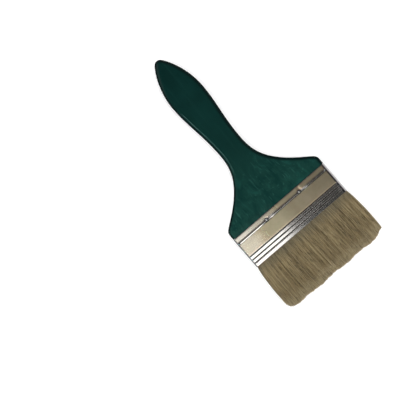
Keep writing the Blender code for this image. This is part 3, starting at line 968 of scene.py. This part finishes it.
def fill_mesh(verts, quads, triangles):
    """A smooth-shaded mesh from arrays, quads first."""
    mesh = bpy.data.meshes.new("strands")
    loops = np.concatenate([quads.ravel(), triangles.ravel()]).astype(np.int32)
    sizes = np.concatenate([np.full(len(quads), 4), np.full(len(triangles), 3)])
    starts = np.concatenate([[0], np.cumsum(sizes)[:-1]]).astype(np.int32)
    mesh.vertices.add(len(verts))
    mesh.vertices.foreach_set("co", verts.ravel().astype(np.float32))
    mesh.loops.add(len(loops))
    mesh.loops.foreach_set("vertex_index", loops)
    mesh.polygons.add(len(sizes))
    mesh.polygons.foreach_set("loop_start", starts)
    mesh.update(calc_edges=True)
    mesh.shade_smooth()
    return mesh


def add_planar_map(mesh, verts):
    """A UV map that looks down on the tuft, so that neighbouring strands share a stretch of it."""
    corner_verts = np.empty(len(mesh.loops), np.int32)
    mesh.loops.foreach_get("vertex_index", corner_verts)
    u = (verts[:, 1] + TUFT_HALF_WIDTH) / (2 * TUFT_HALF_WIDTH)
    v = (verts[:, 0] - BUTT_X) / (END_X - BUTT_X)
    flat = np.stack([u, v], axis=-1)[corner_verts]
    layer = mesh.uv_layers.new(name="OFBake")
    layer.data.foreach_set("uv", flat.ravel().astype(np.float32))


def make_strands(name, side, layer, seed, material, node):
    """A few thousand separate bristles from the resin to their tips, in locks that share a tone."""
    rng = np.random.default_rng(seed)
    count = STRANDS_PER_PIECE
    across, up = strand_roots(rng, side, layer, count)
    lock, off_middle = strand_locks(rng, across)
    pull = off_middle * rng.uniform(0.0, LOCK_PULL, count)
    centres = strand_paths(rng, across, up, pull, strand_tips(rng, across))
    verts, quads, triangles = strand_tubes(rng, centres)
    mesh = fill_mesh(verts, quads, triangles)
    tone = strand_tones(rng, across, np.abs(up), lock)
    chance = rng.uniform(0, 1, count)
    blank = np.zeros((count, len(STRAND_RINGS), STRAND_SIDES))
    along = blank + STRAND_RINGS[None, :, None]
    add_colours(mesh, "strand", blank + tone[:, None, None], along, blank + chance[:, None, None])
    add_planar_map(mesh, verts)
    add_piece(name, mesh, material, "hog_bristle", node)


# The studio ---------------------------------------------------------------------------------

VIEW_TILT = math.radians(11)  # the camera leans this far towards +Y from straight above
VIEW_TURN = math.radians(49.1)  # the brush points this far below the picture's right
PICTURE_WIDTH = 0.3610  # metres across the picture at the brush
CAMERA_AWAY = 2.2
SENSOR_MM = 36
AIM = Vector((0.0074, -0.0498, 0.005))
FLOOR_HALF = 4.0
FLOOR_GLOW = 0.18
ROOM_TONE = 0.60  # the room's brightness near the horizon
CEILING_TONE = 0.04
ROOM_FADE = (0.40, 0.78)  # heights of a direction between which the room darkens
BOX_HEIGHT = 0.80  # of the boxes that the ferrule and the lacquer mirror
FILL_HEIGHT = 1.1


def make_camera():
    data = bpy.data.cameras.new("camera")
    data.sensor_width = SENSOR_MM
    data.lens = data.sensor_width * CAMERA_AWAY / PICTURE_WIDTH
    data.clip_start = 0.05
    data.clip_end = 20
    camera = bpy.data.objects.new("camera", data)
    bpy.context.scene.collection.objects.link(camera)
    back = Vector((0, math.sin(VIEW_TILT), math.cos(VIEW_TILT)))
    along = Vector((1, 0, 0))
    across = back.cross(along)
    right = along * math.cos(VIEW_TURN) + across * math.sin(VIEW_TURN)
    up = back.cross(right)
    turned = Matrix((right, up, back)).transposed().to_4x4()
    camera.matrix_world = Matrix.Translation(AIM + back * CAMERA_AWAY) @ turned
    bpy.context.scene.camera = camera


def add_light(name, location, target, size, brightness, colour=(1, 1, 1)):
    """A soft box of a given brightness, where 1 is the white of the picture."""
    data = bpy.data.lights.new(name, "AREA")
    data.shape = "RECTANGLE"
    data.size, data.size_y = size
    data.energy = brightness * math.pi * size[0] * size[1]
    data.color = colour
    light = bpy.data.objects.new(name, data)
    light.location = location
    aim = Vector(target) - Vector(location)
    light.rotation_euler = aim.to_track_quat("-Z", "Y").to_euler()
    light.visible_camera = False
    bpy.context.scene.collection.objects.link(light)
    return light


def make_floor():
    """A pale floor. Its own glow takes over from the boxes' light far out, to meet the room."""
    bm = bmesh.new()
    bmesh.ops.create_grid(bm, x_segments=1, y_segments=1, size=FLOOR_HALF)
    mesh = finish_mesh(bm, "floor")
    shade(mesh)
    floor = bpy.data.objects.new("floor", mesh)
    bpy.context.scene.collection.objects.link(floor)
    nodes = Nodes("pale_floor")
    nodes.set(Base_Color=(0.92, 0.92, 0.92, 1), Roughness=0.9, Specular_IOR_Level=0.1)
    nodes.set(Emission_Color=(1, 1, 1, 1))
    nodes.feed("Emission Strength", nodes.ramp(nodes.far(), 0.6, 2.2, FLOOR_GLOW, ROOM_TONE))
    mesh.materials.append(nodes.material)


def make_room():
    """A room that is pale near the horizon and dark overhead, and only shows in what mirrors it."""
    world = bpy.data.worlds.new("room")
    world.use_nodes = True
    backdrop = world.node_tree.nodes["Background"]
    backdrop.inputs["Color"].default_value = (1, 1, 1, 1)
    direction = world.node_tree.nodes.new("ShaderNodeTexCoord").outputs["Generated"]
    height = world.node_tree.nodes.new("ShaderNodeSeparateXYZ")
    world.node_tree.links.new(direction, height.inputs[0])
    fade = world.node_tree.nodes.new("ShaderNodeMapRange")
    world.node_tree.links.new(height.outputs["Z"], fade.inputs["Value"])
    fade.inputs["From Min"].default_value = ROOM_FADE[0]
    fade.inputs["From Max"].default_value = ROOM_FADE[1]
    fade.inputs["To Min"].default_value = ROOM_TONE
    fade.inputs["To Max"].default_value = CEILING_TONE
    world.node_tree.links.new(fade.outputs["Result"], backdrop.inputs["Strength"])
    world.cycles_visibility.diffuse = False
    bpy.context.scene.world = world
    bpy.context.scene.view_settings.view_transform = "Standard"


def add_mirrored_box(name, x, y, size, brightness, colour=(1, 1, 1)):
    """A soft box that faces straight down and shows in what is glossy."""
    return add_light(name, (x, y, BOX_HEIGHT), (x, y, 0.0), size, brightness, colour)


def make_lights():
    """Boxes that the metal and the lacquer mirror, and two wide ones that only fill."""
    # Over the -Y side, with its edge just where the ferrule's middle mirrors it to the camera.
    add_mirrored_box("key", 0.545, -0.752, (1.0, 1.2), 1.5)
    # Past the handle's tip: it draws the bright side of the grooves.
    add_mirrored_box("tip_side", -0.56, -0.60, (0.7, 0.9), 1.45)
    # A small pale green one that only draws the line along the handle's rounded edge.
    tube = add_mirrored_box("tube", -0.04, -0.375, (0.10, 0.04), 60.0, (0.55, 1.0, 0.92))
    tube.visible_diffuse = False
    # The fill lights the floor and the brush, and isn't mirrored.
    for side, brightness in ((-1, 2.3), (1, 4.2)):
        place = (0.0, side * 0.9, FILL_HEIGHT)
        fill = add_light(f"fill_{side}", place, (0.0, 0.0, 0.0), (2.4, 1.0), brightness)
        fill.visible_glossy = False


# Everything ---------------------------------------------------------------------------------


def main():
    make_camera()
    make_floor()
    make_room()
    make_lights()
    make_handle(green_lacquer())
    make_ferrule(tinplate())
    steel = nail_steel()
    for name, spot in nail_spots().items():
        make_nail(name, spot, steel)
    bristle = hog_bristle()
    make_strands("bristles_front_surface", 1, SURFACE_LAYER, 11, bristle, "bristles_front")
    make_strands("bristles_front_inside", 1, INSIDE_LAYER, 12, bristle, "bristles_front")
    make_strands("bristles_back_surface", -1, SURFACE_LAYER, 13, bristle, "bristles_back")
    make_strands("bristles_back_inside", -1, INSIDE_LAYER, 14, bristle, "bristles_back")
    for node, material in (("spacer_strip", strip_wood()), ("resin_plug", set_resin())):
        for material_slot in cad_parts[node].material_slots:
            material_slot.material = material


main()
